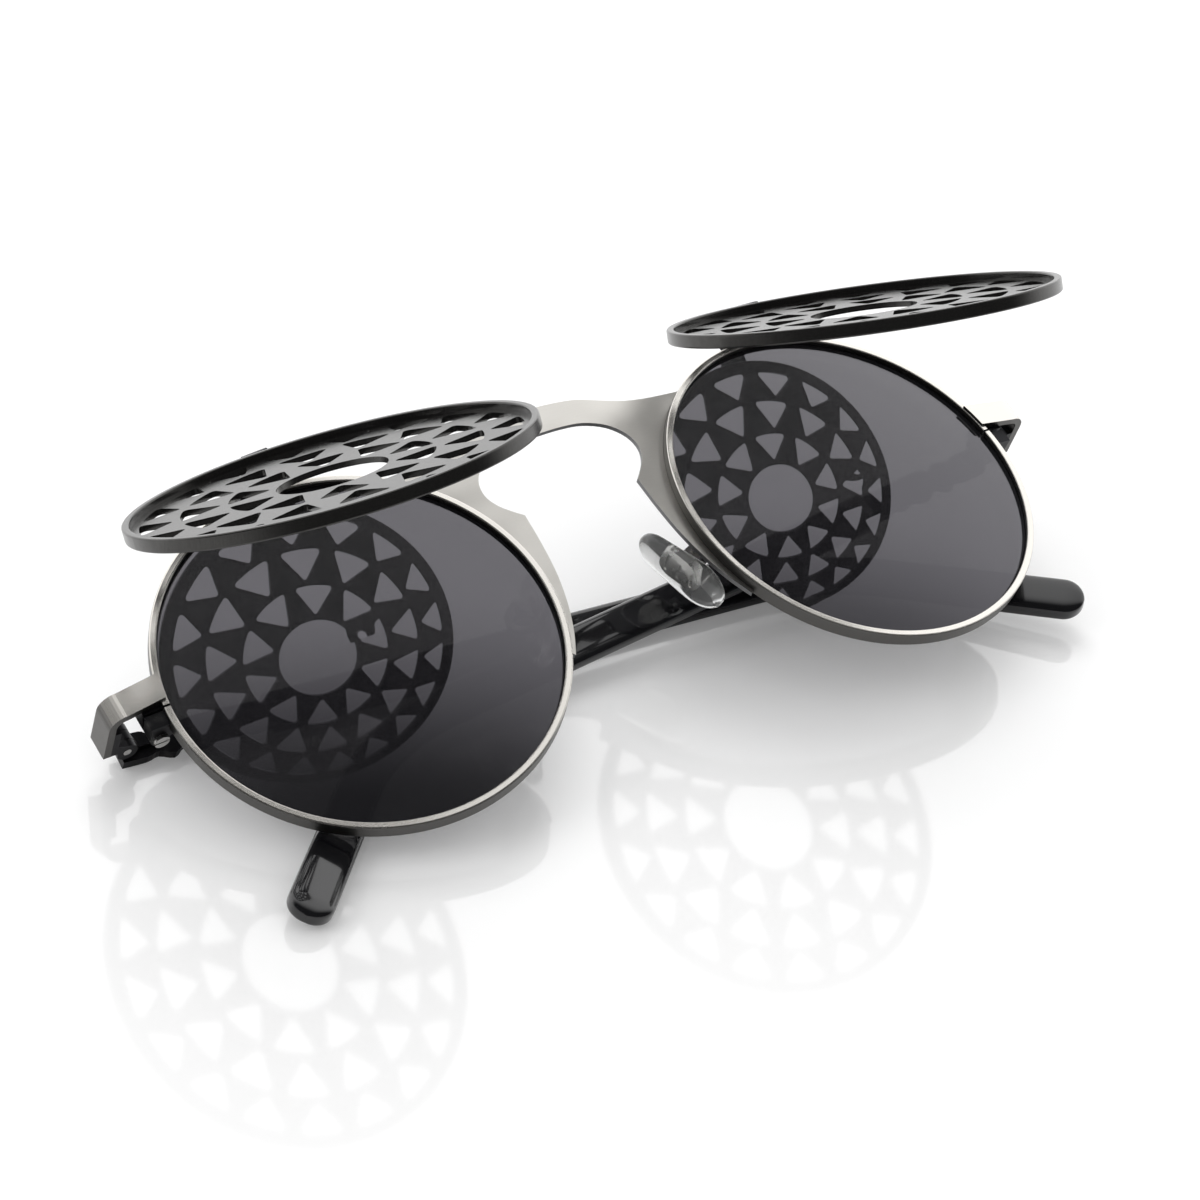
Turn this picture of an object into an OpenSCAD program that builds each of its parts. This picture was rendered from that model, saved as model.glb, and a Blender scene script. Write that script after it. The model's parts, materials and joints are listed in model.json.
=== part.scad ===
// Flip up sunglasses with round metal rims: folded temples, two smoke lenses
// and two pierced discs, each hinged at the top of its rim.
// The glasses are drawn as worn: x to the viewer's right, y back towards the
// face, z up, with both lens centres at z = 0. rest() then lays them down as
// they lie on a table. Left and right are the viewer's, so left is at -x.
// All sizes are in millimetres and all angles in degrees.

/* [Rims] */
// Half the gap between the two rims, over the nose
nose_half = 10.6; // [9:0.1:13]
// How far each rim turns back towards its temple
wrap = 5.6; // [2:0.2:8]
// Inner radius of the rim in front of the lens
rim_inner_r = 23.5; // [22:0.1:24]
// Radial thickness of the rim
rim_wall = 0.9; // [0.8:0.05:1.2]
// How far the rim reaches in front of the lens plane
rim_front = 1.2; // [1:0.1:1.5]
// How far the rim reaches behind the lens plane
rim_back = 0.7; // [0.6:0.05:1]
// Radius of the rounded edges of the rim
rim_edge_r = 0.2; // [0.1:0.05:0.25]

/* [Lenses] */
// Radius of the lens's front dome
lens_dome_r = 122; // [90:1:200]
// Thickness of the lens
lens_t = 2; // [1.4:0.1:2]
// How deep the lens's bevel sits in the rim
lens_seat = 0.3; // [0.2:0.05:0.35]
// Distance from the lens plane forward to the dome's edge
lens_lip = 0.5; // [0.4:0.05:0.6]

/* [Bridge] */
// Thickness of the stamped bridge plate
bridge_t = 0.6; // [0.4:0.05:0.8]
// Distance of the plate's middle behind the lens plane
bridge_set_back = 0.4; // [0.2:0.1:0.6]
// Half width of the plate's curved middle, between its two flat wings
bridge_bow = 9; // [6:0.5:12]

/* [Endpieces] */
// Height of the flat strip that carries the temple hinge
strip_h = 3.3; // [2.8:0.1:3.8]
// Thickness of the strip
strip_t = 0.94; // [0.8:0.02:1.1]
// Height of the strip's middle above the lens centre, at the hinge
strip_z = 4.1; // [3.8:0.1:4.6]
// How much higher the strip's middle is where it laps over the rim
strip_rise = 0.75; // [0:0.05:1]
// How far the endpiece stands out beyond the rim
strip_reach = 6.2; // [5:0.1:9]
// Outer bend radius of the strip's corner
strip_bend_r = 2.2; // [1.5:0.1:2.6]
// How far the strip's front stands proud of the rim
strip_proud = 0.35; // [0.25:0.05:0.5]

/* [Temple hinges] */
// Distance of the hinge pin behind the lens centres
hinge_y = 9; // [8.5:0.1:10]
// Radius of the hinge barrels
barrel_r = 1.3; // [1.1:0.05:1.4]
// Radius of the hinge screw's shank
hinge_screw_r = 0.5; // [0.4:0.05:0.6]
// Running clearance on every hinge pin
pin_gap = 0.05; // [0.03:0.01:0.08]
// Height of the temple's middle barrel
knuckle_h = 1.3; // [1:0.1:1.5]
// Gap above and below the middle barrel
knuckle_gap = 0.08; // [0.05:0.01:0.15]

/* [Temples] */
// Length of a temple along its middle, from the hinge pin to the tip
temple_len = 130.5; // [124:0.5:136]
// Length of the straight part
temple_straight = 86.5; // [80:0.5:88]
// Radius of the bend over the ear
ear_bend_r = 28; // [20:1:34]
// Angle of the bend over the ear
ear_bend = 40; // [36:0.5:50]
// How far the ear bend leans in towards the head
ear_lean = 24; // [8:1:26]
// Thickness of the temple's metal bar
bar_t = 1.2; // [1:0.05:1.4]
// Height of the temple's metal bar
bar_h = 3.6; // [3.2:0.1:4]
// Length of bare metal bar, from the hinge pin to the sleeve
bar_len = 19; // [15:0.5:24]
// Height of the plastic sleeve along the straight part
sleeve_h = 5.1; // [4.4:0.1:5.4]
// Thickness of the plastic sleeve along the straight part
sleeve_t = 2.2; // [2:0.1:2.4]
// Height of the sleeve's rounded tip
tip_h = 5.4; // [5:0.1:6]
// Thickness of the sleeve's rounded tip
tip_t = 2.5; // [2.4:0.1:3]
// Clearance between the core wire and the sleeve
core_gap = 0.05; // [0.03:0.01:0.1]

/* [Flip discs] */
// How much further out the disc reaches than the rim's opening
disc_over = 0.5; // [0:0.1:1.5]
// Radial thickness of the band
band_wall = 0.9; // [0.7:0.05:1.1]
// Height of the band, front to back
band_h = 1.65; // [1.4:0.05:2]
// Thickness of the pierced plate
grille_t = 0.7; // [0.5:0.05:0.9]
// Distance of the closed disc in front of the lens plane
disc_gap = 2.95; // [2.9:0.05:3.3]
// Radius of the hole in the middle of the disc
hole_r = 6.5; // [6:0.1:7.2]
// Gaps between the hole, the rings of windows and the band, at the least
web = 0.9; // [0.7:0.05:1.1]
// Radius of the rounded corners of a window
window_corner = 0.45; // [0.3:0.05:0.6]
// Turn of the left disc's pattern, seen from the front
grille_turn_left = 3; // [-30:1:30]
// Turn of the right disc's pattern, seen from the front
grille_turn_right = -24; // [-30:1:30]

/* [Flip hinges] */
// Height of the flip hinge's pin above the rim
flip_rise = 1.65; // [1.5:0.05:2.5]
// Distance of the flip hinge's pin in front of the lens plane
flip_y = 1.1; // [0.9:0.05:1.3]
// Radius of the flip hinge's barrel
flip_barrel_r = 1.05; // [0.9:0.05:1.1]
// Radius of the flip hinge's pin
flip_pin_r = 0.45; // [0.35:0.05:0.55]
// Width of the moving knuckle
flip_knuckle_w = 3.2; // [2.6:0.1:4]
// Width of the whole flip hinge
flip_w = 6.6; // [6:0.1:7.5]
// Gap on each side of the moving knuckle
flip_side_gap = 0.1; // [0.06:0.01:0.15]
// Turn of the left hinge's pin in plan, as soldered
pin_turn_left = 2; // [-6:0.1:6]
// Turn of the right hinge's pin in plan, as soldered
pin_turn_right = -3; // [-6:0.1:6]

/* [Nose pads] */
// Distance of a pad's middle from the middle of the glasses
pad_x = 10.3; // [10:0.1:11]
// Distance of a pad's middle behind the lens centres
pad_y = 4.2; // [4:0.1:4.6]
// Height of a pad's middle above the lens centres
pad_z = -1.1; // [-1.5:0.1:-0.8]
// How far a pad's lower end leans outwards
pad_splay = 20; // [12:1:26]
// Turn of a pad's face towards the back
pad_turn = 10; // [0:1:15]
// Length of a pad
pad_len = 13; // [11:0.5:14]
// Thickness of a pad
pad_t = 3; // [2.6:0.1:3.4]
// Radius of the pad's screw
pad_screw_r = 0.35; // [0.3:0.05:0.45]
// Radius of the pad arm's wire
arm_wire_r = 0.5; // [0.4:0.05:0.6]

/* [Lie on the table] */
// Lean of the glasses back on their folded temples
lean = 72.46; // [60:0.01:80]
// Sideways tilt towards the right
side_tilt = -10.32; // [-20:0.01:20]
// Fold of the left temple from straight back
fold_left = 87.7; // [84:0.1:92]
// Fold of the right temple from straight back
fold_right = 90.8; // [84:0.1:92]
// Fall of the left temple towards its tip
drop_left = 3.0; // [2:0.1:6.5]
// Fall of the right temple towards its tip
drop_right = 6; // [2:0.1:6.5]
// How far the left disc is flipped up from its lens
open_left = 46.9; // [0:0.1:90]
// How far the right disc is flipped up from its lens
open_right = 47.1; // [0:0.1:90]

/* [Hidden] */
on_table = [-0.248, 1.173, 14.556];    // measured: puts the middle of the footprint on the table at the origin
rim_outer_r = rim_inner_r + rim_wall;
lens_half_pitch = nose_half + rim_outer_r;
strip_outer_x = lens_half_pitch + rim_outer_r + strip_reach;
disc_r = rim_inner_r + disc_over;
flip_z = rim_outer_r + flip_rise;
fit = 0.02;              // gap at a soldered seam
lens_r = rim_inner_r - 0.1;
groove_gap = 0.06;
bevel_front = 0.05 - lens_lip;
bevel_back = bevel_front + 0.65;
hinge_x = strip_outer_x - bar_t - barrel_r - 0.5 - 0.1;
bar_inner = barrel_r + 0.5;
bar_mid = bar_inner + bar_t / 2;
stop_gap = 0.15;         // between the open temple and its endpiece
strip_end_y = hinge_y - 0.1 - stop_gap;
block_h = 1.9;           // height of each half of the rim lock
block_slit = 0.3;
block_z = strip_z - strip_h / 2 - block_h - 0.45;
block_screw_r = 0.5;
block_r = 1.2;
block_screw_x = rim_outer_r + 1.1;
block_screw_y = 1.9;
flip_back = 1.35;        // how far the flip hinge's bar reaches behind its pin
pin_head_h = 0.35;
ring_counts = [10, 14, 18];
ring_outer = [for (part = [0.31, 0.683, 1]) hole_r + web + (disc_r - band_wall - hole_r - 2 * web) * part];
ring_inner = [hole_r + web, ring_outer[0] + web, ring_outer[1] + web];
ring_fill = [0.76, 0.74, 0.72];
sleeve_start = bar_len;
core_h = 2.2;
core_t = 0.9;
core_end = temple_len - 9;
pad_lower_r = 3.6;
pad_upper_r = 2.6;
insert_t = 0.6;
arm_path = [[11, -1.62, -2.2], [11.1, -0.5, -2.5], [12.1, 0, -3.4], [13.6, 1, -3.8],
  [14.5, 2.6, -2.6], [14.1, 3.65, -1.2]];
cup_inner = 1.05;
cup_wall = 0.45;
fine = 96;

// Places and frames

// Lays the worn glasses down as they lie on the table
module rest() {
  square_up = atan(tan(side_tilt) * sin(lean));
  translate(on_table) rotate([0, 0, square_up]) rotate([-lean, 0, 0]) rotate([0, side_tilt, 0])
    children();
}

// Draws right-hand geometry on the side asked for: -1 is left, 1 is right
module on_side(side) {
  if (side < 0) mirror([1, 0, 0]) children();
  else children();
}

// The middle of the right lens, turned back by the wrap
module at_lens() {
  translate([lens_half_pitch, 0, 0]) rotate([0, 0, wrap]) children();
}

// Turns a profile of radius and depth into a ring about the lens axis
module ring_about_lens(from = 0, sweep = 360) {
  rotate([90, 0, 0]) mirror([0, 0, 1]) rotate([0, 0, from])
    rotate_extrude(angle = sweep, $fn = fine) children();
}

// Extrudes an outline in x and z along y, from the depth y0
module plate_in_xz(y0, t) {
  translate([0, y0 + t, 0]) rotate([90, 0, 0]) linear_extrude(t) children();
}

// Turns geometry about the flip hinge's middle, by a vector of angles
module about_flip(turn) {
  translate([0, -flip_y, flip_z]) rotate(turn) translate([0, flip_y, -flip_z]) children();
}

// A right disc raised by an angle about its pin, which is turned in plan
module at_flip(angle, pin_turn) {
  at_lens() about_flip([0, 0, pin_turn]) about_flip([-angle, 0, 0]) about_flip([0, 0, -pin_turn])
    children();
}

// A right temple at its hinge, folded by the given angle: drawn with the arm
// along +y from the pin and its outer face towards +x
module at_hinge(fold) {
  translate([hinge_x, hinge_y, strip_z]) rotate([0, 0, fold]) children();
}

// A right nose pad: x is its outward normal, y its width, z its long axis
module at_pad() {
  translate([pad_x, pad_y, pad_z]) rotate([0, 0, -pad_turn]) rotate([0, -pad_splay, 0]) children();
}

// Curves

// A point on a smooth curve that passes through four points in a row
function smooth_point(a, b, c, d, t) =
  0.5 * (2 * b + (c - a) * t + (2 * a - 5 * b + 4 * c - d) * t * t
  + (3 * b - a - 3 * c + d) * t * t * t);

// A smooth curve through a list of points, with n steps to each span
function smooth_curve(p, n) = concat([for (i = [0:len(p) - 2], k = [0:n - 1])
  smooth_point(p[max(i - 1, 0)], p[i], p[i + 1], p[min(i + 2, len(p) - 1)], k / n)],
  [p[len(p) - 1]]);

// Points on an arc about c
function arc(c, r, a0, a1, n) = [for (i = [0:n]) let (a = a0 + (a1 - a0) * i / n)
  c + r * [cos(a), sin(a)]];

// Joins closed rings of points into a solid, with a flat cap at each end
module skin(rings) {
  n = len(rings[0]);
  m = len(rings);
  points = [for (r = rings, p = r) p];
  sides = [for (i = [0:m - 2], k = [0:n - 1]) let (a = i * n + k, b = i * n + (k + 1) % n)
    each [[a, b, b + n], [a, b + n, a + n]]];
  first = [for (k = [n - 1:-1:0]) k];
  last = [for (k = [0:n - 1]) (m - 1) * n + k];
  polyhedron(points, concat([first], sides, [last]), convexity = 6);
}

// Rims and lenses

// The rim's section, radius along x and depth along y, with its lens groove
module rim_section() {
  e = rim_edge_r;
  seat_r = rim_inner_r + lens_seat + groove_gap;
  difference() {
    polygon(concat(
      arc([rim_inner_r + e, -rim_front + e], e, 180, 270, 3),
      arc([rim_outer_r - e, -rim_front + e], e, 270, 360, 3),
      arc([rim_outer_r - e, rim_back - e], e, 0, 90, 3),
      arc([rim_inner_r + e, rim_back - e], e, 90, 180, 3)));
    polygon([
      [rim_inner_r - 1, bevel_front - groove_gap],
      [rim_inner_r, bevel_front - groove_gap],
      [seat_r, bevel_front + 0.25],
      [seat_r, bevel_back - 0.25],
      [rim_inner_r, bevel_back + groove_gap],
      [rim_inner_r - 1, bevel_back + groove_gap]]);
  }
}

// The rim is one bent wire, split beside the temple for the lens to go in
module rim() color("gainsboro") {
  slit_turn = asin((block_z + block_h + block_slit / 2) / rim_outer_r);
  at_lens() difference() {
    ring_about_lens() rim_section();
    rotate([0, -slit_turn, 0])
      translate([rim_inner_r - 1, -rim_front - 1, -block_slit / 2])
        cube([rim_wall + 2, rim_front + rim_back + 2, block_slit]);
  }
}

// A dome of even thickness with a bevel around its edge
module lens() color("dimgray", 0.6) {
  sag = lens_dome_r - sqrt(lens_dome_r * lens_dome_r - lens_r * lens_r);
  centre_y = lens_dome_r - lens_lip - sag;
  inner_r = lens_dome_r - lens_t;
  tip_r = rim_inner_r + lens_seat;
  at_lens() ring_about_lens() union() {
    intersection() {
      difference() {
        translate([0, centre_y]) circle(lens_dome_r, $fn = fine * 4);
        translate([0, centre_y]) circle(inner_r, $fn = fine * 4);
      }
      translate([0, -lens_lip - sag - 1]) square([lens_r, sag + lens_t + 2]);
    }
    polygon([[lens_r - 0.3, bevel_front], [lens_r, bevel_front], [tip_r, bevel_front + 0.28],
      [tip_r, bevel_back - 0.28], [lens_r, bevel_back], [lens_r - 0.3, bevel_back]]);
  }
}

// Bridge

// Right half of the stamped plate's outline, x and z
module bridge_half() {
  top = [[0, 23.1], [3, 23.0], [7, 22.6], [10.2, 21.6], [13.4, 20.7], [17, 20.3], [21.5, 20.2]];
  arch = [[8.1, 9.1], [9.2, 10.2], [10.4, 11.7], [11.1, 13.6], [10.7, 15.8], [8.9, 17.8],
    [6, 19.0], [3, 19.3], [0, 19.3]];
  flange = [[12.6, -10.8], [11.2, -8], [9.9, -4.4], [8.9, -0.2], [8.35, 4.5], [8.1, 9.1]];
  tall = rim_outer_r / 24.4;
  outline = concat([[21.5, 0]], [[12.6, -10.8]], smooth_curve(flange, 4), smooth_curve(arch, 4),
    smooth_curve(top, 3));
  polygon([for (p = outline) [p[0], p[1] * tall]]);
}

// The plate in plan: two flat wings in line with the rims, and a bowed middle
module bridge_plan() {
  wing_y = bridge_set_back - bridge_t / 2;
  bow_r = bridge_bow / sin(wrap);
  bow_y = (bridge_bow - lens_half_pitch) * tan(wrap) + bridge_set_back / cos(wrap) + bow_r * cos(wrap);
  intersection() {
    difference() {
      translate([0, bow_y]) circle(bow_r + bridge_t / 2, $fn = fine * 2);
      translate([0, bow_y]) circle(bow_r - bridge_t / 2, $fn = fine * 2);
    }
    polygon([[0, bow_y], [0, bow_y - 2 * bow_r],
      [2 * bow_r * tan(wrap), bow_y - 2 * bow_r]]);
  }
  translate([lens_half_pitch, 0]) rotate(wrap)
    translate([-(lens_half_pitch - bridge_bow) / cos(wrap) - bridge_set_back * tan(wrap), wing_y])
      square([lens_half_pitch - bridge_bow - 12, bridge_t]);
}

module bridge_plate() color("silver") {
  difference() {
    for (side = [-1, 1]) on_side(side) intersection() {
      plate_in_xz(-10, 20) bridge_half();
      translate([0, 0, -20]) linear_extrude(60) bridge_plan();
    }
    for (side = [-1, 1]) on_side(side) at_lens()
      rotate([90, 0, 0]) cylinder(r = rim_outer_r + fit, h = 20, center = true, $fn = fine);
  }
}

// Endpieces and rim locks

// The strip's plan: a lap on the rim, a bend and a straight end at the hinge
module strip_plan() {
  r = strip_bend_r;
  front = rim_front + strip_proud;
  lap = lens_half_pitch + (rim_inner_r - 2) * cos(wrap) + front * sin(wrap);
  lap_y = (rim_inner_r - 2) * sin(wrap) - front * cos(wrap);
  // centre of the bend, on the line a radius behind the sloping front
  cx = strip_outer_x - r;
  cy = lap_y + (cx - lap) * tan(wrap) + r / cos(wrap);
  polygon(concat(
    [[lap, lap_y]],
    arc([cx, cy], r, 270 + wrap, 360, 8),
    [[strip_outer_x, strip_end_y], [strip_outer_x - strip_t, strip_end_y]],
    arc([cx, cy], r - strip_t, 360, 270 + wrap, 8),
    [[lap - strip_t * sin(wrap), lap_y + strip_t * cos(wrap)]]));
}

module endpiece() color("silver") {
  bend_x = strip_outer_x - strip_bend_r;
  lap_x = lens_half_pitch + rim_inner_r - 2;
  lo = strip_z - strip_h / 2;
  hi = strip_z + strip_h / 2;
  difference() {
    intersection() {
      linear_extrude(4 * strip_z) strip_plan();
      plate_in_xz(-10, 30) polygon([
        [lap_x, lo + strip_rise], [bend_x, lo], [strip_outer_x + 1, lo],
        [strip_outer_x + 1, hi], [bend_x, hi], [lap_x, hi + strip_rise]]);
    }
    at_lens() {
      rotate([90, 0, 0]) cylinder(r = rim_inner_r + 0.25, h = 20, center = true, $fn = fine);
      translate([0, -rim_front, 0]) rotate([-90, 0, 0])
        cylinder(r = rim_outer_r + fit, h = 20, $fn = fine);
    }
  }
}

// Two blocks that close the rim's split, one above the other
module rim_lock() color("gray") {
  front = strip_t + fit - rim_front - strip_proud;
  at_lens() difference() {
    for (i = [0, 1]) translate([0, 0, block_z + i * (block_h + block_slit)])
      linear_extrude(block_h) {
        translate([rim_inner_r, front])
          square([block_screw_x + block_r - rim_inner_r, block_screw_y - front]);
        translate([block_screw_x, block_screw_y]) circle(block_r, $fn = fine);
      }
    translate([0, -rim_front, 0]) rotate([-90, 0, 0])
      cylinder(r = rim_outer_r + fit, h = rim_front + rim_back + fit, $fn = fine);
    translate([block_screw_x, block_screw_y, block_z - 1])
      cylinder(r = block_screw_r + fit, h = 2 * block_h + block_slit + 2, $fn = 32);
  }
}

// Slotted screw that draws the two blocks together from below
module rim_lock_screw() color("gainsboro") {
  at_lens() translate([block_screw_x, block_screw_y, block_z]) {
    cylinder(r = block_screw_r, h = 2 * block_h + block_slit, $fn = 32);
    difference() {
      translate([0, 0, -0.5]) cylinder(r = 0.95, h = 0.5, $fn = 32);
      translate([-2, -0.12, -0.6]) cube([4, 0.24, 0.3]);
    }
  }
}

// Temple hinges

// Front leaf: a plate inside the endpiece with an upper and a lower barrel
module hinge_leaf() color("gray") {
  side_h = (strip_h - knuckle_h) / 2 - knuckle_gap;
  inner_x = strip_outer_x - strip_t - fit;
  for (i = [-1, 1]) translate([0, 0, strip_z + i * (knuckle_h / 2 + knuckle_gap + side_h / 2) - side_h / 2])
    linear_extrude(side_h) difference() {
      union() {
        translate([hinge_x, hinge_y]) circle(barrel_r, $fn = fine);
        translate([inner_x - 0.8, hinge_y - 4.5]) square([0.8, 4.5 - 0.3]);
        polygon([[hinge_x, hinge_y - barrel_r], [inner_x - 0.4, hinge_y - barrel_r - 0.6],
          [inner_x - 0.4, hinge_y - 0.3], [hinge_x + barrel_r * 0.9, hinge_y - 0.3]]);
      }
      translate([hinge_x, hinge_y]) circle(hinge_screw_r + fit, $fn = 32);
    }
  translate([inner_x - 0.8, hinge_y - 4.5, strip_z - strip_h / 2]) cube([0.8, 2.6, strip_h]);
}

// Screw down through the three barrels
module hinge_screw() color("gainsboro") {
  head_r = 0.95;
  translate([hinge_x, hinge_y, strip_z - strip_h / 2]) {
    cylinder(r = hinge_screw_r, h = strip_h, $fn = 32);
    difference() {
      translate([0, 0, strip_h]) cylinder(r = head_r, h = 0.45, $fn = 32);
      translate([-2, -0.12, strip_h + 0.2]) cube([4, 0.24, 0.6]);
    }
  }
}

// Middle barrel on a leaf that is brazed inside the temple bar
module temple_knuckle(fold) color("gray") {
  at_hinge(fold) translate([0, 0, -knuckle_h / 2]) linear_extrude(knuckle_h) difference() {
    union() {
      circle(barrel_r, $fn = fine);
      translate([bar_inner - 0.5 - fit, 0.35]) square([0.5, 5]);
      polygon([[0, barrel_r], [barrel_r * 0.8, 0.35], [bar_inner - 0.3, 0.35], [bar_inner - 0.3, 2.4]]);
    }
    circle(hinge_screw_r + pin_gap, $fn = 32);
  }
}

// Temples

// Where the temple's middle line runs: distance along it to a point in the
// plane of the bend, straight first, then the bend, then straight again
function bend_angle(s) =
  min(max((s - temple_straight) / (ear_bend_r * PI / 180), 0), ear_bend);
function bend_point(s) = let (b = bend_angle(s),
  after = max(s - temple_straight - ear_bend_r * ear_bend * PI / 180, 0))
  [min(s, temple_straight) + ear_bend_r * sin(b) + after * cos(b),
   ear_bend_r * (1 - cos(b)) + after * sin(b)];

// A ring of the temple's section at distance s, t thick and h high
function temple_ring(s, t, h, n, square_up) =
  let (p = bend_point(s), b = bend_angle(s))
  [for (k = [0:n - 1]) let (a = 360 * (k + 0.5) / n,
    u = sign(cos(a)) * pow(abs(cos(a)), square_up) * t / 2,
    v = sign(sin(a)) * pow(abs(sin(a)), square_up) * h / 2,
    in_bend = -v * cos(ear_lean) - u * sin(ear_lean),
    across = u * cos(ear_lean) - v * sin(ear_lean),
    down = p[1] + in_bend * cos(b))
    [bar_mid + across * cos(ear_lean) - down * sin(ear_lean),
     p[0] - in_bend * sin(b),
     -across * sin(ear_lean) - down * cos(ear_lean)]];

// Size of the sleeve at distance s: even, a neck at the ear, then the tip
function blend(a, b, t) = let (u = min(max(t, 0), 1)) a + (b - a) * u * u * (3 - 2 * u);
function round_end(s) = let (d = max(s - (temple_len - tip_h / 2), 0) / (tip_h / 2))
  sqrt(max(1 - d * d, 0.02));
function sleeve_height(s) =
  blend(sleeve_h, tip_h, (s - temple_straight - 14) / 26) * round_end(s);
function sleeve_thick(s) =
  blend(sleeve_t, tip_t, (s - temple_straight + 6) / 40) * (0.35 + 0.65 * round_end(s));

module core_wire(grow, from, to) {
  steps = 26;
  skin([for (i = [0:steps]) let (s = from + (to - from) * i / steps)
    temple_ring(s, core_t + 2 * grow, core_h + 2 * grow, 8, 0.5)]);
}

// Side profile of the bare metal bar: a block at the hinge, two lobes with
// necks between them, and a long body with a scalloped lower edge
module bar_profile() {
  h = bar_h / 2;
  top = [[-0.1, h], [3.2, h], [4.0, h - 0.5], [5.0, h - 0.1], [6.6, h + 0.15], [7.6, h - 0.55],
    [8.8, h + 0.1], [12, h + 0.25], [bar_len - 2, h + 0.1], [bar_len + 0.3, h - 0.05]];
  low = [[bar_len + 0.3, -h + 0.05], [bar_len - 2.4, -h - 0.1], [bar_len - 3.4, -h + 0.35],
    [bar_len - 5, -h - 0.15], [bar_len - 6.6, -h + 0.3], [bar_len - 8.4, -h - 0.3],
    [9.4, -h - 0.1], [8, -h + 0.6], [6.4, -h - 0.35], [4.6, -h + 0.35], [3, -h], [-0.1, -h]];
  polygon(concat(smooth_curve(top, 3), smooth_curve(low, 3)));
}

module temple_bar(fold, drop) color("dimgray") {
  at_hinge(fold) rotate([-drop, 0, 0]) {
    translate([bar_inner, 0, 0]) rotate([90, 0, 90]) linear_extrude(bar_t) bar_profile();
    core_wire(0, bar_len - 1, core_end);
  }
}

// Plastic sleeve over the core, with a square-shouldered section that swells
// into a rounded tip behind the ear
module temple_sleeve(fold, drop) color("black") {
  n = 24;
  even = [for (i = [0:4]) sleeve_start + 0.35 + (temple_straight - sleeve_start) * i / 4];
  bend = [for (i = [1:22]) temple_straight + (temple_len - tip_h / 2 - temple_straight) * i / 22];
  end = [for (a = [18:18:90]) temple_len - tip_h / 2 + tip_h / 2 * sin(a)];
  at_hinge(fold) rotate([-drop, 0, 0]) difference() {
    skin(concat(
      [temple_ring(sleeve_start + 0.1, sleeve_t - 0.5, sleeve_h - 0.5, n, 0.5)],
      [for (s = concat(even, bend, end)) temple_ring(s, sleeve_thick(s), sleeve_height(s), n, 0.5)]));
    core_wire(core_gap, sleeve_start - 1, core_end + 0.1);
    translate([bar_inner - 0.05, 0, -bar_h]) cube([bar_t + 0.1, bar_len + 0.36, 2 * bar_h]);
  }
}

// Flip hinges and discs

// Clevis on top of the rim: a cross bar behind the pin and two ears
module flip_hinge_base(pin_turn) color("gray") {
  ear = (flip_w - flip_knuckle_w) / 2 - flip_side_gap;
  foot_z = rim_outer_r - 1;
  at_lens() difference() {
    about_flip([0, 0, pin_turn]) union() {
      translate([-flip_w / 2, -flip_y + flip_barrel_r + 0.12, foot_z])
        cube([flip_w, flip_back - flip_barrel_r + 0.4, flip_z - foot_z + 0.2]);
      for (i = [-1, 1]) translate([i * (flip_w - ear) / 2 - ear / 2, 0, 0]) {
        translate([0, -flip_y, flip_z]) rotate([0, 90, 0]) cylinder(r = flip_barrel_r, h = ear, $fn = 48);
        translate([0, -flip_y - 0.4, foot_z])
          cube([ear, flip_back + 0.9, flip_z - foot_z + 0.2]);
      }
    }
    rotate([90, 0, 0]) cylinder(r = rim_outer_r + fit, h = 20, center = true, $fn = fine);
    translate([0, -flip_y, flip_z]) rotate([0, 90, pin_turn])
      cylinder(r = flip_pin_r + fit, h = 20, center = true, $fn = 32);
  }
}

// Riveted pin through the clevis
module flip_hinge_pin(pin_turn) color("gainsboro") {
  at_lens() translate([0, -flip_y, flip_z]) rotate([0, 90, pin_turn]) {
    cylinder(r = flip_pin_r, h = flip_w, center = true, $fn = 32);
    for (i = [-1, 1]) translate([0, 0, i * (flip_w + pin_head_h) / 2])
      cylinder(r = flip_pin_r + 0.25, h = pin_head_h, center = true, $fn = 32);
  }
}

// Moving knuckle, with a tongue forward and down onto the disc's band
module flip_arm(open, pin_turn) color("gray") {
  front = disc_gap + band_h;
  at_flip(open, pin_turn) difference() {
    about_flip([0, 0, pin_turn]) translate([-flip_knuckle_w / 2, 0, 0]) {
      translate([0, -flip_y, flip_z]) rotate([0, 90, 0])
        cylinder(r = flip_barrel_r, h = flip_knuckle_w, $fn = 48);
      rotate([90, 0, 90]) linear_extrude(flip_knuckle_w) polygon([
        [-flip_y, flip_z + flip_barrel_r], [-flip_y - 0.9, flip_z + flip_barrel_r * 0.95],
        [-front + 0.35, disc_r + 0.95], [-front, disc_r + 0.6], [-front, disc_r - 0.3],
        [-disc_gap, disc_r - 0.3], [-disc_gap, disc_r + 0.7],
        [-flip_y - flip_barrel_r * 0.75, flip_z - 0.7],
        [-flip_y, flip_z]]);
    }
    rotate([90, 0, 0]) cylinder(r = disc_r + fit, h = 20, center = true, $fn = fine);
    translate([0, -flip_y, flip_z]) rotate([0, 90, pin_turn])
      cylinder(r = flip_pin_r + pin_gap, h = flip_knuckle_w + 2, center = true, $fn = 32);
  }
}

// The disc's band, a plain hoop with softened edges
module disc_band(open, pin_turn) color("dimgray") {
  e = 0.2;
  lo = -disc_gap - band_h;
  at_flip(open, pin_turn) ring_about_lens() polygon(concat(
    arc([disc_r - band_wall + e, lo + e], e, 180, 270, 3),
    arc([disc_r - e, lo + e], e, 270, 360, 3),
    arc([disc_r - e, -disc_gap - e], e, 0, 90, 3),
    arc([disc_r - band_wall + e, -disc_gap - e], e, 90, 180, 3)));
}

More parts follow.
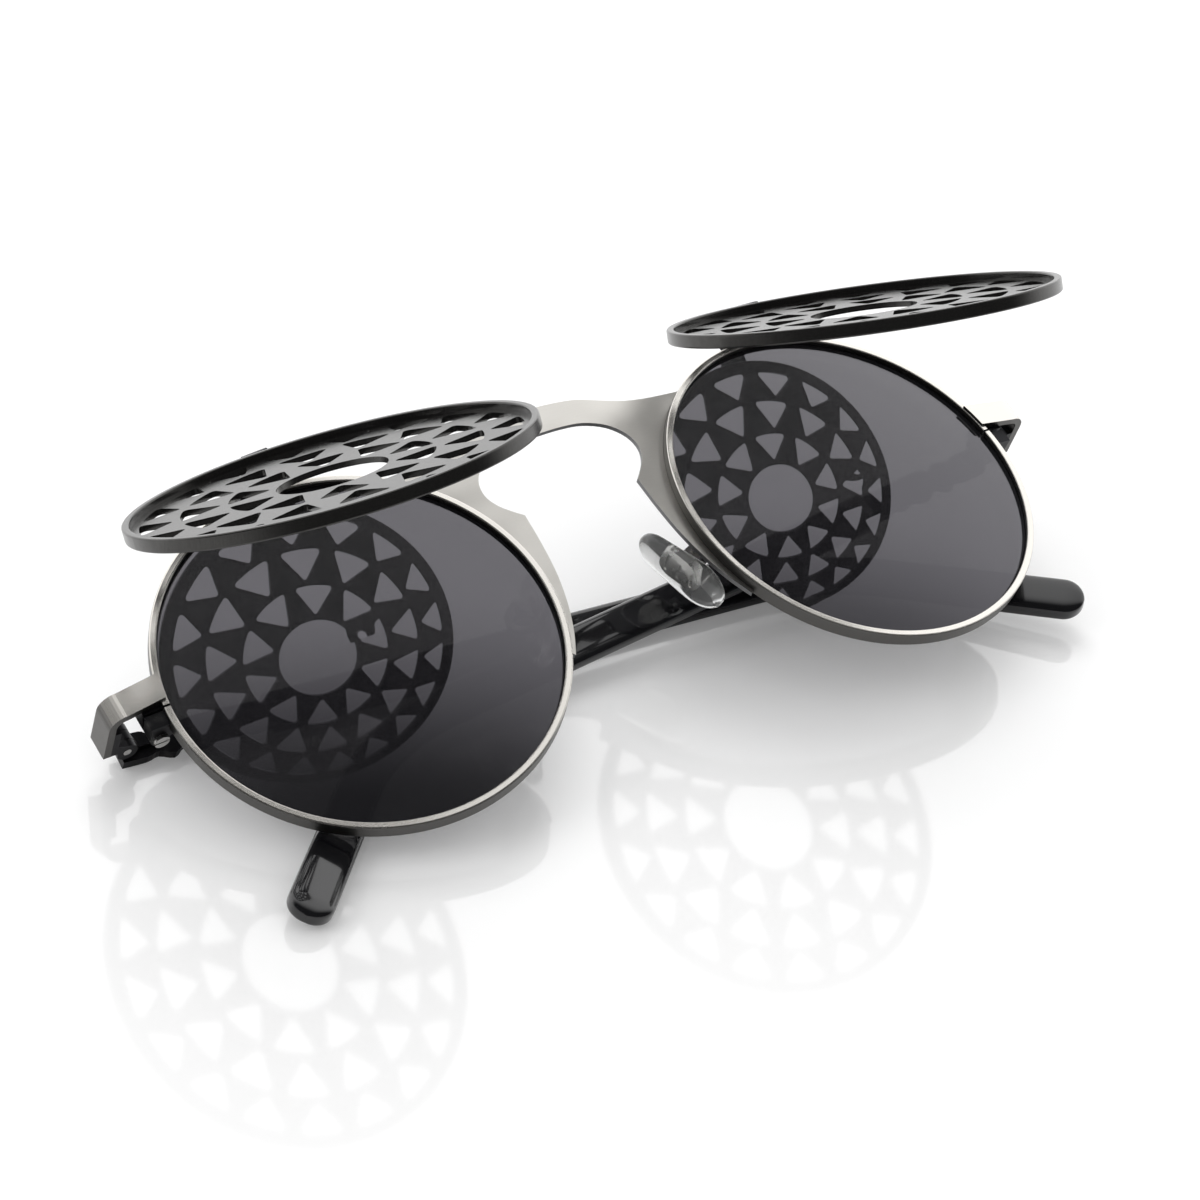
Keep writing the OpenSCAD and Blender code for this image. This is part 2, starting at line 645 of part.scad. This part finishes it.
// One window: a triangle that points to the middle, with rounded corners and
// an outer edge that follows its ring
function window(inner, outer, half) =
  let (c = window_corner,
    lean_in = asin(c / (outer - c)),
    corner = (outer - c) * [cos(half - lean_in), sin(half - lean_in)],
    tip = [inner + c, 0],
    side = atan2(corner[1], corner[0] - tip[0]) + 90)
  concat(
    arc(tip, c, 180, side, 2),
    arc(corner, c, side, half - lean_in, 3),
    arc([0, 0], outer, (half - lean_in) / 2, -(half - lean_in) / 2, 2),
    arc([corner[0], -corner[1]], c, -(half - lean_in), -side, 3),
    [for (p = arc(tip, c, -side, -180, 2)) if (p[1] < -0.01) p]);

module disc_grille(open, pin_turn, turn) color("slategray") {
  at_flip(open, pin_turn) plate_in_xz(-disc_gap - grille_t, grille_t) difference() {
    circle(disc_r - band_wall - fit, $fn = fine * 2);
    circle(hole_r, $fn = fine);
    for (ring = [0:2]) let (count = ring_counts[ring], half = 180 / count * ring_fill[ring])
      for (i = [0:count - 1]) rotate(turn + 360 * i / count)
        polygon(window(ring_inner[ring], ring_outer[ring], half));
  }
}

// Nose pads

// A bent wire from the rim's back to the pad, with a small cup at its end
module pad_arm() color("silver") {
  cup = 2.7;
  side = cup_inner + cup_wall;
  wire = smooth_curve(arm_path, 5);
  sides = 10;
  skin([for (i = [0:len(wire) - 1])
    let (t = wire[min(i + 1, len(wire) - 1)] - wire[max(i - 1, 0)],
      d = t / norm(t),
      a = cross(d, [1, 0, 0]) / norm(cross(d, [1, 0, 0])),
      b = cross(d, a))
    [for (k = [0:sides - 1]) let (g = -360 * k / sides)
      wire[i] + arm_wire_r * (a * cos(g) + b * sin(g))]]);
  at_pad() difference() {
    translate([cup - 1.15, -side, -1.1]) cube([1.15 + 1.15, 2 * side, 2.2]);
    translate([cup - 2, -cup_inner, -2]) cube([2 + 0.7, 2 * cup_inner, 4]);
    translate([cup, 0, 0]) rotate([90, 0, 0])
      cylinder(r = pad_screw_r + fit, h = 10, center = true, $fn = 24);
  }
}

// Small screw across the cup
module pad_screw() color("gainsboro") {
  side = cup_inner + cup_wall;
  at_pad() translate([2.7, 0, 0]) rotate([90, 0, 0]) {
    cylinder(r = pad_screw_r, h = 2 * side, center = true, $fn = 24);
    translate([0, 0, side]) cylinder(r = 0.75, h = 0.4, $fn = 24);
  }
}

// Plate and post that the pad is moulded around
module insert_shape(grow) {
  translate([0.2 - grow, 0, 0]) rotate([90, 0, 90]) linear_extrude(insert_t + 2 * grow)
    union() {
      for (i = [-1, 1]) translate([0, i * 1.2]) circle(1.7 + grow, $fn = 24);
      translate([-1.7 - grow, -1.2]) square([2 * (1.7 + grow), 2.4]);
    }
  translate([0.5, -0.85 - grow, -0.75 - grow])
    cube([2.75 + grow, 1.7 + 2 * grow, 1.5 + 2 * grow]);
}

module pad_insert() color("silver") {
  at_pad() difference() {
    insert_shape(0);
    for (i = [-1:1]) translate([-1, -1, i * 1.9 - 0.2]) cube([1.45, 2, 0.4]);
    translate([2.7, 0, 0]) rotate([90, 0, 0])
      cylinder(r = pad_screw_r + pin_gap, h = 10, center = true, $fn = 24);
  }
}

// Soft clear pad, wider below than above, domed towards the nose
module nose_pad() color("white", 0.5) {
  reach = pad_len / 2;
  at_pad() difference() {
    intersection() {
      hull() {
        translate([-0.1, 0, reach - pad_upper_r]) scale([pad_t / 2 / pad_upper_r, 1, 1])
          sphere(pad_upper_r, $fn = 26);
        translate([-0.1, 0, pad_lower_r - reach]) scale([pad_t / 2 / pad_lower_r, 1, 1])
          sphere(pad_lower_r, $fn = 32);
      }
      translate([-5, -10, -10]) cube([5 + pad_t / 2 - 0.35, 20, 20]);
    }
    insert_shape(0.05);
  }
}

// The assembly

rest() bridge_plate();
rest() on_side(-1) rim();  // rim_left
rest() on_side(1) rim();  // rim_right
rest() on_side(-1) lens();  // lens_left
rest() on_side(1) lens();  // lens_right
rest() on_side(-1) endpiece();  // endpiece_left
rest() on_side(1) endpiece();  // endpiece_right
rest() on_side(-1) rim_lock();  // rim_lock_left
rest() on_side(1) rim_lock();  // rim_lock_right
rest() on_side(-1) rim_lock_screw();  // rim_lock_screw_left
rest() on_side(1) rim_lock_screw();  // rim_lock_screw_right
rest() on_side(-1) hinge_leaf();  // hinge_leaf_left
rest() on_side(1) hinge_leaf();  // hinge_leaf_right
rest() on_side(-1) hinge_screw();  // hinge_screw_left
rest() on_side(1) hinge_screw();  // hinge_screw_right
rest() on_side(-1) temple_bar(fold_left, drop_left);  // temple_bar_left
rest() on_side(1) temple_bar(fold_right, drop_right);  // temple_bar_right
rest() on_side(-1) temple_knuckle(fold_left);  // temple_knuckle_left
rest() on_side(1) temple_knuckle(fold_right);  // temple_knuckle_right
rest() on_side(-1) temple_sleeve(fold_left, drop_left);  // temple_sleeve_left
rest() on_side(1) temple_sleeve(fold_right, drop_right);  // temple_sleeve_right
rest() on_side(-1) flip_hinge_base(pin_turn_left);  // flip_hinge_base_left
rest() on_side(1) flip_hinge_base(pin_turn_right);  // flip_hinge_base_right
rest() on_side(-1) flip_hinge_pin(pin_turn_left);  // flip_hinge_pin_left
rest() on_side(1) flip_hinge_pin(pin_turn_right);  // flip_hinge_pin_right
rest() on_side(-1) flip_arm(open_left, pin_turn_left);  // flip_arm_left
rest() on_side(1) flip_arm(open_right, pin_turn_right);  // flip_arm_right
rest() on_side(-1) disc_band(open_left, pin_turn_left);  // disc_band_left
rest() on_side(1) disc_band(open_right, pin_turn_right);  // disc_band_right
rest() on_side(-1) disc_grille(open_left, pin_turn_left, 180 - grille_turn_left);  // disc_grille_left
rest() on_side(1) disc_grille(open_right, pin_turn_right, grille_turn_right);  // disc_grille_right
rest() on_side(-1) pad_arm();  // pad_arm_left
rest() on_side(1) pad_arm();  // pad_arm_right
rest() on_side(-1) pad_screw();  // pad_screw_left
rest() on_side(1) pad_screw();  // pad_screw_right
rest() on_side(-1) pad_insert();  // pad_insert_left
rest() on_side(1) pad_insert();  // pad_insert_right
rest() on_side(-1) nose_pad();  // nose_pad_left
rest() on_side(1) nose_pad();  // nose_pad_right
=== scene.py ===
"""Flip up sunglasses lying back on their folded temples, a pierced disc raised over each lens.

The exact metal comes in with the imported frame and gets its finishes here. The sleeves of
the temples and the nose pads are made here as smooth surfaces in place of the plain solids.
"""
import json

import bpy
import numpy as np
from mathutils import Matrix, Quaternion, Vector


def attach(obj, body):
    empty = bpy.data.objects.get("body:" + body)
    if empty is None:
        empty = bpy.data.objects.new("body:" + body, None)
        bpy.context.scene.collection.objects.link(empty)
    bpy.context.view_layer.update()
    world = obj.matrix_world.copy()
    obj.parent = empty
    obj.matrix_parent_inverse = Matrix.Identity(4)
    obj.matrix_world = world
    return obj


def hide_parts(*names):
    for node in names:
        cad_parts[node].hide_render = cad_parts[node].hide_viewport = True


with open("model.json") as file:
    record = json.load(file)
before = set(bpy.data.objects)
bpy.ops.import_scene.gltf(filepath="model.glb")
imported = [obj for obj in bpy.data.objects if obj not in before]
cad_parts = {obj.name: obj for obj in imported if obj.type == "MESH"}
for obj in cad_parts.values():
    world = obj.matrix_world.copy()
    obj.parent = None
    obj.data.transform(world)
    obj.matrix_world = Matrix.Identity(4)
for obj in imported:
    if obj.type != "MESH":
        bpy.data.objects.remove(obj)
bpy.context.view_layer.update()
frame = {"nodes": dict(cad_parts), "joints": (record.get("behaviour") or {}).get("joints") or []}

# The glasses as worn. Shapes below are stated in millimetres with x to the right of someone
# looking at the front, y back and z up, from midway between the lenses. The two hinge
# screws of the temples carry that frame with them into the lying pose.
joints = {joint["name"]: joint for joint in frame["joints"]}
screws = {side: Vector(joints["temple_hinge_" + side]["pos_m"]) for side in ("left", "right")}
across = (screws["right"] - screws["left"]).normalized()
upward = Vector(joints["temple_hinge_right"]["axis"]).normalized()
backward = upward.cross(across).normalized()
screw_x, screw_y, screw_z = 62.5, 9.0, 4.1
between_screws = (screws["left"] + screws["right"]) / 2
middle = between_screws - (backward * screw_y + upward * screw_z) / 1000
worn = Matrix((across, backward, upward)).transposed()


def lying(points):
    """Points as worn, in millimetres, taken to where they lie, in metres."""
    return np.asarray(points) @ (np.array(worn).T / 1000) + np.array(middle)


# The camera stands in front of the glasses, low on their right hand side as they are worn,
# with a long lens. Its turn is one rotation, an axis as long as the angle in radians, from
# the worn frame to the picture, with x right, y down and z away.
turn_axis = Vector((0.945106, -0.608591, -0.033102))
glasses_in_picture = Vector((1.796, -4.072, 420.661))
turn = Quaternion(turn_axis.normalized(), turn_axis.length).to_matrix()
standing = -(turn.transposed() @ glasses_in_picture)
camera_axes = worn @ turn.transposed() @ Matrix.Diagonal((1, -1, -1))
camera = bpy.data.objects.new("camera", bpy.data.cameras.new("camera"))
camera.data.sensor_width = 36
camera.data.lens = 105.53
camera.data.clip_start = 0.01
camera.matrix_world = Matrix.Translation(lying(standing)) @ camera_axes.to_4x4()
bpy.context.scene.collection.objects.link(camera)
bpy.context.scene.camera = camera
bpy.context.scene.view_settings.view_transform = "Standard"


class Value:
    """A number on a shader socket. Sums and products of these add their Math nodes."""

    def __init__(self, tree, socket):
        self.tree, self.socket = tree, socket

    def feed(self, made, **inputs):
        """Sets or links a node's sockets, each by its name, or by i and its number."""
        for key, value in inputs.items():
            numbered = key[0] == "i" and key[1:].isdigit()
            socket = made.inputs[int(key[1:]) if numbered else key.replace("_", " ")]
            value = value.socket if isinstance(value, Value) else value
            if isinstance(value, bpy.types.NodeSocket):
                self.tree.links.new(value, socket)
            else:
                socket.default_value = (*value, 1) if socket.type == "RGBA" else value

    def node(self, kind, settings=None, **inputs):
        """Adds a node, its settings first, then the values or links of its sockets."""
        made = self.tree.nodes.new(kind)
        for key, value in (settings or {}).items():
            setattr(made, key, value)
        self.feed(made, **inputs)
        return made

    def maths(self, operation, first, second):
        made = self.node("ShaderNodeMath", {"operation": operation}, i0=first, i1=second)
        return Value(self.tree, made.outputs[0])

    def __add__(self, other): return self.maths("ADD", self, other)
    def __radd__(self, other): return self.maths("ADD", other, self)
    def __sub__(self, other): return self.maths("SUBTRACT", self, other)
    def __rsub__(self, other): return self.maths("SUBTRACT", other, self)
    def __mul__(self, other): return self.maths("MULTIPLY", self, other)
    def __rmul__(self, other): return self.maths("MULTIPLY", other, self)

    def between(self, low, high):
        """0 below low, 1 above high and smooth between."""
        made = self.node("ShaderNodeMapRange", {"interpolation_type": "SMOOTHSTEP"},
                         Value=self, From_Min=low, From_Max=high)
        return Value(self.tree, made.outputs[0])

    def mix(self, low, high):
        """A colour that goes from low to high as this goes from 0 to 1."""
        made = self.node("ShaderNodeMix", {"data_type": "RGBA"}, i0=self, i6=low, i7=high)
        return made.outputs[2]


# The studio is a white table under an even white sky, with one broad soft lamp behind the
# glasses and a smaller one at their left. Mirrors see the sky bright towards the back and
# dark over the camera, which shades the lenses from top to bottom.
sky = bpy.data.worlds.new("sky")
bpy.context.scene.world = sky
sky.use_nodes = True
start = Value(sky.node_tree, None)
rays = start.node("ShaderNodeLightPath").outputs
seen = Value(start.tree, rays["Is Camera Ray"])
mirrored = Value(start.tree, rays["Is Glossy Ray"])
through = Value(start.tree, rays["Is Transmission Ray"])
direction = start.node("ShaderNodeSeparateXYZ",
                       i0=start.node("ShaderNodeTexCoord").outputs["Generated"]).outputs
toward_back = Value(start.tree, direction[1]) * 0.8 + Value(start.tree, direction[0]) * 0.35
dark_end, bright_gain, on_surfaces = 0.05, 1.3, 0.72
in_mirror = dark_end + bright_gain * toward_back.between(-0.12, 0.34)
white = seen.maths("MAXIMUM", seen, through)
level = white + (1 - white) * (mirrored * in_mirror + (1 - mirrored) * on_surfaces)
start.feed(sky.node_tree.nodes["Background"], Strength=level, Color=(1, 1, 1))


def lamp(name, place, width, power):
    """A square soft lamp turned to the middle of the glasses, in metres and watts."""
    made = bpy.data.objects.new(name, bpy.data.lights.new(name, "AREA"))
    made.data.size = width
    made.data.energy = power
    made.visible_glossy = False
    made.location = place
    aim = Vector((0, 0, 0.02)) - Vector(place)
    made.rotation_euler = aim.to_track_quat("-Z", "Y").to_euler()
    bpy.context.scene.collection.objects.link(made)


lamp("soft lamp behind", (0.25, 0.55, 0.75), width=0.6, power=3.4)
lamp("lamp at the left", (-0.7, 0.1, 0.5), width=0.4, power=1.4)


def finish_of(name):
    """A new material with its shader and a Value that adds nodes to it."""
    material = bpy.data.materials.new(name)
    material.use_nodes = True
    shader = material.node_tree.nodes["Principled BSDF"]
    return material, shader, Value(material.node_tree, None)


# The table is a flat white board with a clear gloss, wide enough for its edge to stay out of
# sight. A little light of its own, for the camera alone, lets it run into the white sky.
half = 4
corners = [(-half, -half, 0), (half, -half, 0), (half, half, 0), (-half, half, 0)]
table_mesh = bpy.data.meshes.new("table")
table_mesh.from_pydata(corners, [], [(0, 1, 2, 3)])
table = bpy.data.objects.new("table", table_mesh)
bpy.context.scene.collection.objects.link(table)
material, shader, start = finish_of("white gloss table")
for_camera = Value(start.tree, start.node("ShaderNodeLightPath").outputs["Is Camera Ray"])
start.feed(shader, Base_Color=(0.92, 0.92, 0.92), Roughness=0.06, Specular_IOR_Level=0.9,
           Emission_Color=(1, 1, 1), Emission_Strength=for_camera * 0.13)
table_mesh.materials.append(material)


def grain(start, size, detail=3.0, stretch=(1, 1, 1)):
    """Noise on the lying piece from 0 to 1, drawn out along the axes where stretch is small."""
    place = start.node("ShaderNodeTexCoord").outputs["Object"]
    laid = start.node("ShaderNodeMapping", Vector=place, Scale=stretch).outputs[0]
    noise = start.node("ShaderNodeTexNoise", Vector=laid, Scale=size, Detail=detail)
    return Value(start.tree, noise.outputs["Fac"])


def to_front(start):
    """How far the surface faces the front of the glasses, from -1 to 1."""
    normal = start.node("ShaderNodeNewGeometry").outputs["Normal"]
    dot = start.node("ShaderNodeVectorMath", {"operation": "DOT_PRODUCT"},
                     i0=normal, i1=tuple(-backward))
    return Value(start.tree, dot.outputs["Value"])


def bumped(start, shader, height, depth):
    """Raises the surface by height times depth, in metres."""
    made = start.node("ShaderNodeBump", Height=height, Distance=depth, Strength=1.0)
    start.feed(shader, Normal=made.outputs[0])


def wear(material, *names):
    """Puts a finish on nodes of the frame, on both sides where they come in pairs."""
    for name in names:
        for node in (name, name + "_left", name + "_right"):
            if node in frame["nodes"]:
                for held in frame["nodes"][node].material_slots:
                    held.material = material


# Each rim is a thin steel ring with a groove for the lens, split at the outer side, and an
# endpiece of flat strip leads from it round to the temple. On both, the faces towards the front,
# which look up as the glasses lie, are painted bright as lit steel and the sides dark as shade.
material, shader, start = finish_of("rim steel")
painted_side_shade, painted_front_light = (0.15, 0.146, 0.14), (0.86, 0.83, 0.78)
dull, clean = (0.86, 0.86, 0.86), (1.0, 1.0, 1.0)
fine = grain(start, 900)
broad = grain(start, 70, detail=2.0)
# Painted light: this mask sets the front faces, painted bright, apart from the sides, painted
# dark as shade.
front = to_front(start).between(0.35, 0.8)
tone = (fine * 0.3 + broad * 0.7).mix(dull, clean)
toned = start.node("ShaderNodeMix", {"data_type": "RGBA", "blend_type": "MULTIPLY"},
                   i0=1.0, i6=front.mix(painted_side_shade, painted_front_light), i7=tone)
start.feed(shader, Base_Color=toned.outputs[2], Metallic=1.0,
           Roughness=0.3 - 0.1 * front + 0.1 * fine)
bumped(start, shader, fine, 0.0000006)
wear(material, "rim", "endpiece")

# The bridge is one stamped plate, bowed forward over the nose and soldered to both rims, and
# each nose pad hangs on a bent wire arm. Both are brushed and toned a warm grey that is
# lighter where the brush has cut through, and the plate is faintly uneven from the press.
material, shader, start = finish_of("brushed steel")
painted_edge_shade, warm_grey, brushed = (0.2, 0.2, 0.205), (0.52, 0.505, 0.475), (0.76, 0.74, 0.7)
lines = grain(start, 50, detail=4.0, stretch=(12, 260, 260))
broad = grain(start, 55, detail=2.0)
# Painted shade: faces turned away from the front, the plate's edges among them, are painted near
# black, and the front faces keep the brushed grey.
front = to_front(start).between(-0.1, 0.7)
faces = (lines * 0.35 + broad * 0.65).mix(warm_grey, brushed)
start.feed(shader, Base_Color=front.mix(painted_edge_shade, faces), Metallic=1.0,
           Roughness=0.3 + 0.12 * lines)
bumped(start, shader, lines * 0.003 + broad, 0.0011)
wear(material, "bridge_plate", "pad_arm")

# The discs are stamped from sheet, a band round a pierced plate in three rings of windows.
# They are brushed and then blackened, so the faces show faint lines and the cut edges
# stay nearly black.
material, shader, start = finish_of("blackened disc")
blackened, brush_mark = (0.045, 0.044, 0.043), (0.1, 0.098, 0.094)
lines = grain(start, 60, detail=4.0, stretch=(260, 12, 12))
fine = grain(start, 2400)
start.feed(shader, Base_Color=(lines * 0.8 + fine * 0.2).mix(blackened, brush_mark),
           Metallic=0.9, Roughness=0.16 + 0.1 * lines)
bumped(start, shader, lines, 0.0000007)
wear(material, "disc_grille", "disc_band")

# Hinges, rim locks and the bars at the front of the temples are cast or turned and plated
# satin black, with a little bare metal rubbed through on the high places.
material, shader, start = finish_of("satin black plating")
plating, bare = (0.018, 0.018, 0.02), (0.09, 0.088, 0.085)
fine = grain(start, 1500)
rubbed = grain(start, 260, detail=5.0).between(0.58, 0.78)
start.feed(shader, Base_Color=rubbed.mix(plating, bare), Metallic=0.85,
           Roughness=0.26 + 0.2 * fine)
bumped(start, shader, fine, 0.000002)
wear(material, "rim_lock", "hinge_leaf", "temple_bar", "temple_knuckle", "flip_hinge_base",
     "flip_arm")

# Screws, the pins of the flip hinges and the inserts of the nose pads are bare turned steel.
# Turning leaves them smooth, with only slight clouds of duller metal.
material, shader, start = finish_of("turned steel")
cloudy, bright = (0.6, 0.595, 0.58), (0.68, 0.67, 0.655)
fine = grain(start, 400)
start.feed(shader, Base_Color=fine.mix(cloudy, bright), Metallic=1.0,
           Roughness=0.2 + 0.15 * fine)
wear(material, "rim_lock_screw", "hinge_screw", "flip_hinge_pin", "pad_screw", "pad_insert")

# The lenses are dark smoke glass with a half mirror on the front, so the raised discs show in
# them. They are let into the rims' grooves, and the dust of a shop shelf barely dulls them.
material, shader, start = finish_of("smoke lens")
smoke, dusty = (0.008, 0.008, 0.0095), (0.012, 0.012, 0.0135)
haze = grain(start, 90)
start.feed(shader, Base_Color=haze.mix(smoke, dusty), Roughness=0.012 + 0.02 * haze,
           IOR=1.95, Specular_Tint=(0.93, 0.9, 1.0), Alpha=0.86)
wear(material, "lens")

# A sleeve of glossy black plastic is pushed over the wire of each temple. It is a flat bar that
# leans and bends down behind the ear, then ends in a slightly thicker round tip. Lengths run
# along the temple from its hinge screw.
bar_middle, sleeve_start, temple_len = 2.4, 19.0, 130.5
straight, bend_radius, bend_total, ear_lean = 86.5, 28.0, 40.0, np.radians(24)
high, thick, tip_high, tip_thick = 5.1, 2.2, 5.4, 2.5
mouth_gap, mouth_length, mouth_step = 0.1, 0.3, 0.6
higher_from, higher_over, thicker_from, thicker_over = straight + 14, 26, straight - 6, 40
fold_drop = {"left": 3.0, "right": 6.0}


def surface(name, grid):
    """A closed skin over rings of points, one row of the grid for each ring, as worn in mm.

    Each ring joins to the next by quads, and the first and last rings close on their own
    middle points, so the skin has no hole. Its faces are turned to look outwards, which is
    when the cones from the origin to the faces add up to a positive volume.
    """
    rows, count, _ = grid.shape
    points = np.vstack([grid.reshape(-1, 3), grid[0].mean(0), grid[-1].mean(0)])
    ring, step = np.meshgrid(np.arange(rows - 1), np.arange(count), indexing="ij")
    near, far = ring * count + step, ring * count + (step + 1) % count
    quads = np.stack([near, far, far + count, near + count], -1).reshape(-1, 4)
    this = np.arange(count)
    following, last_ring = (this + 1) % count, (rows - 1) * count
    head = np.stack([np.full(count, rows * count), following, this], -1)
    tail = np.stack([np.full(count, rows * count + 1), last_ring + this,
                     last_ring + following], -1)
    mesh = bpy.data.meshes.new(name)
    mesh.from_pydata(lying(points).tolist(), [], quads.tolist() + head.tolist() + tail.tolist())
    mesh.shade_smooth()
    volume = sum(mesh.vertices[face.vertices[0]].co.dot(face.normal) * face.area
                 for face in mesh.polygons)
    if volume < 0:
        mesh.flip_normals()
    made = bpy.data.objects.new(name, mesh)
    bpy.context.scene.collection.objects.link(made)
    return made


def mirrored_side(grid, side):
    """The left one of a pair is the right one turned over at the middle, rings reversed."""
    return grid if side == "right" else (grid * (-1, 1, 1))[:, ::-1]


def turned(u, v, angle):
    """Turns u towards v by the angle, in radians."""
    return u * np.cos(angle) - v * np.sin(angle), u * np.sin(angle) + v * np.cos(angle)


def eased(low, high, t):
    """Goes from low to high as t goes from 0 to 1, with no corner at either end."""
    t = np.clip(t, 0, 1)
    return low + (high - low) * t * t * (3 - 2 * t)


def rounded(angle):
    """A circle's x and y pushed out halfway to a square: the signed root of each."""
    x, y = np.cos(angle), np.sin(angle)
    return np.sign(x) * np.sqrt(np.abs(x)), np.sign(y) * np.sqrt(np.abs(y))


def sleeve(fold, drop):
    """Rings of a rounded bar along the temple's middle line.

    The line is straight, then an arc of the bend's radius, then straight. Each ring is a
    rounded rectangle as high and thick as its distance along the line says, and both shrink
    as a quarter circle over the round end. The bend leans outwards, and then the whole
    sleeve drops and folds about the hinge screw.
    """
    round_end = tip_high / 2
    tip = temple_len - round_end
    mouth = sleeve_start + mouth_gap
    end_turn = np.radians(np.linspace(0, 90, 14)[1:])
    s = np.concatenate([[mouth], np.linspace(mouth + mouth_length, straight, 12),
                        np.linspace(straight, tip, 50)[1:], tip + round_end * np.sin(end_turn)])
    bend = np.radians(np.clip(np.degrees((s - straight) / bend_radius), 0, bend_total))
    after = np.maximum(s - straight - bend_radius * np.radians(bend_total), 0)
    along = np.minimum(s, straight) + bend_radius * np.sin(bend) + after * np.cos(bend)
    below = bend_radius * (1 - np.cos(bend)) + after * np.sin(bend)
    past_tip = np.maximum(s - tip, 0) / round_end
    end = np.sqrt(np.maximum(1 - past_tip ** 2, 0.004))
    h = eased(high, tip_high, (s - higher_from) / higher_over) * end
    t = eased(thick, tip_thick, (s - thicker_from) / thicker_over) * (0.35 + 0.65 * end)
    h[0], t[0] = high - mouth_step, thick - mouth_step
    u, v = rounded(np.radians(np.arange(64) * 5.625))
    side, up = turned(u * t[:, None] / 2, v * h[:, None] / 2, ear_lean)
    down = below[:, None] - up * np.cos(bend)[:, None]
    y = along[:, None] + up * np.sin(bend)[:, None]
    x, z = turned(side, -down, -ear_lean)
    x = x + bar_middle
    y, z = turned(y, z, np.radians(-drop))
    x, y = turned(x, y, np.radians(fold))
    return np.stack([x + screw_x, y + screw_y, z + screw_z], -1)


material, shader, start = finish_of("glossy black sleeve")
deep, lighter = (0.004, 0.004, 0.005), (0.009, 0.009, 0.0105)
swirl = grain(start, 120)
start.feed(shader, Base_Color=swirl.mix(deep, lighter), Roughness=0.07 + 0.08 * swirl,
           Coat_Weight=0.6, Coat_Roughness=0.03)
for side in ("left", "right"):
    fold = max(abs(limit) for limit in joints["temple_hinge_" + side]["range_deg"])
    piece = surface("sleeve_" + side, mirrored_side(sleeve(fold, fold_drop[side]), side))
    piece.data.materials.append(material)
    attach(piece, "temple_" + side)
    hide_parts("temple_sleeve_" + side)

# The nose pads are clear silicone moulded round a slotted steel insert, wider below than above,
# domed towards the nose and flatter behind. The outline runs round two circles, a wider one
# below and a narrower one above, and both reach the same distance from the middle.
pad_place, pad_turn, pad_splay = np.array([10.3, 4.2, -1.1]), np.radians(-10), np.radians(-20)
pad_lower, pad_upper, pad_reach = 3.6, 2.6, 6.5
pad_dome, pad_back, pad_seam = 1.5, 1.2, -0.1
dome_fullness, back_fullness = 0.62, 0.55


def pad():
    """Rings from the pole on the nose side to the pole behind.

    The outline is the egg round two circles: its distance from the middle is that of
    whichever circle the direction meets furthest out. Towards each pole it shrinks as a
    power of the sine of the angle from that pole, and the depth follows the cosine.
    """
    a = np.radians(np.arange(72) * 5.0)
    y, z = np.cos(a), np.sin(a)
    part = np.linspace(0, 1, 41)[:, None]
    radius = pad_lower + (pad_upper - pad_lower) * part
    centre = (pad_lower - pad_reach) * (1 - part) + (pad_reach - pad_upper) * part
    spare = radius ** 2 - (centre * y) ** 2
    met = np.where(spare >= 0, centre * z + np.sqrt(np.maximum(spare, 0)), 0)
    outline = np.maximum(met.max(0), 0)
    p = np.radians(np.linspace(3, 177, 40))
    size = np.sin(p)[:, None] ** dome_fullness * outline
    domed = pad_seam - pad_dome * np.cos(p)
    flat = pad_seam + pad_back * np.abs(np.cos(p)) ** back_fullness
    x = np.where(p < np.pi / 2, domed, flat)[:, None] + 0 * size
    x, z = turned(x, size * z, -pad_splay)
    x, y = turned(x, size * y, pad_turn)
    return np.stack([x, y, z], -1) + pad_place


material, shader, start = finish_of("clear silicone")
clouded, clear = (0.9, 0.91, 0.9), (0.98, 0.985, 0.98)
cloud = grain(start, 300, detail=2.0)
start.feed(shader, Base_Color=cloud.mix(clouded, clear), Roughness=0.04 + 0.05 * cloud,
           IOR=1.41, Transmission_Weight=0.92)
for side in ("left", "right"):
    piece = surface("pad_" + side, mirrored_side(pad(), side)[::-1])
    piece.data.materials.append(material)
    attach(piece, "pad_" + side)
    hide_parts("nose_pad_" + side)
